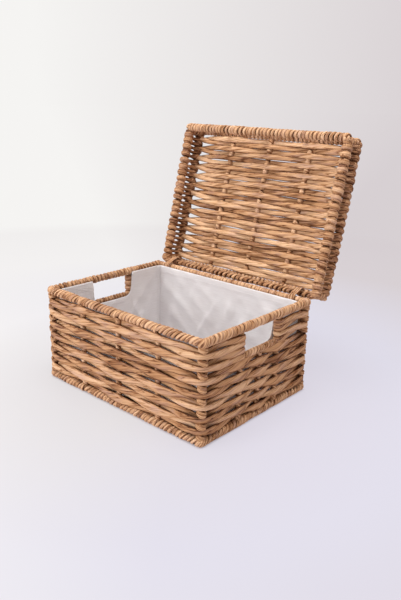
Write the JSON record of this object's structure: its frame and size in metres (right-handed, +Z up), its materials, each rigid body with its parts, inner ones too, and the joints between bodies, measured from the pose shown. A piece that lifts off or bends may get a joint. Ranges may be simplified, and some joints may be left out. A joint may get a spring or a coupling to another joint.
{
  "type": "woven lidded storage box",
  "caption": "Rectangular storage box woven from plant fibre on a wire frame, with hand holes in its ends, a cotton liner and a lid that is tied on along the rear rim.",
  "frame": {"origin": "middle of the underside, on the flat patch where the floor weave stands on the ground", "axes": "+Z up, +X along the long sides towards the right end, +Y towards the hinged rear side, lid standing open"},
  "size_m": [0.3932, 0.428, 0.4649],
  "materials": {
    "fibre": "dry twisted plant fibre, matt with a slight sheen",
    "wrapping": "flat plant-fibre strip, matt",
    "wire": "dark drawn wire",
    "cotton": "plain woven cotton, off-white"
  },
  "bodies": {
    "base": {"base_wire_frame": "wire", "base_corner_post_1": "fibre", "base_corner_post_2": "fibre", "base_corner_post_3": "fibre", "base_corner_post_4": "fibre", "course_1_strand": "fibre", "course_2_strand": "fibre", "course_3_strand": "fibre", "course_4_strand": "fibre", "course_5_strand": "fibre", "course_6_front_strand": "fibre", "course_6_rear_strand": "fibre", "course_7_front_strand": "fibre", "course_7_rear_strand": "fibre", "top_rim_winding_front": "wrapping", "top_rim_winding_right": "wrapping", "top_rim_winding_rear": "wrapping", "top_rim_winding_left": "wrapping", "bottom_rim_winding_front": "wrapping", "bottom_rim_winding_right": "wrapping", "bottom_rim_winding_rear": "wrapping", "bottom_rim_winding_left": "wrapping", "handle_rail_winding_right": "wrapping", "handle_rail_winding_left": "wrapping", "floor_strand": "fibre", "liner_floor": "cotton", "liner_front": "cotton", "liner_rear": "cotton", "liner_right": "cotton", "liner_left": "cotton", "hinge_tie_right": "wrapping", "hinge_tie_left": "wrapping"},
    "lid": {"lid_wire_frame": "wire", "lid_corner_post_1": "fibre", "lid_corner_post_2": "fibre", "lid_corner_post_3": "fibre", "lid_corner_post_4": "fibre", "lid_row_01": "fibre", "lid_row_02": "fibre", "lid_row_03": "fibre", "lid_row_04": "fibre", "lid_row_05": "fibre", "lid_row_06": "fibre", "lid_row_07": "fibre", "lid_row_08": "fibre", "lid_row_09": "fibre", "lid_row_10": "fibre", "lid_row_11": "fibre", "lid_row_12": "fibre", "lid_row_13": "fibre", "lid_row_14": "fibre", "lid_rim_winding_front": "wrapping", "lid_rim_winding_right": "wrapping", "lid_rim_winding_rear": "wrapping", "lid_rim_winding_left": "wrapping", "lid_edge_winding_front": "wrapping", "lid_edge_winding_rear": "wrapping"}
  },
  "joints": [
    {"name": "lid_hinge", "type": "hinge", "parent": "base", "child": "lid", "pos_m": [0, 0.1481, 0.1765], "axis": [1, 0, 0], "range_deg": [0, 104], "deforming": ["hinge_tie_right", "hinge_tie_left"]}
  ]
}
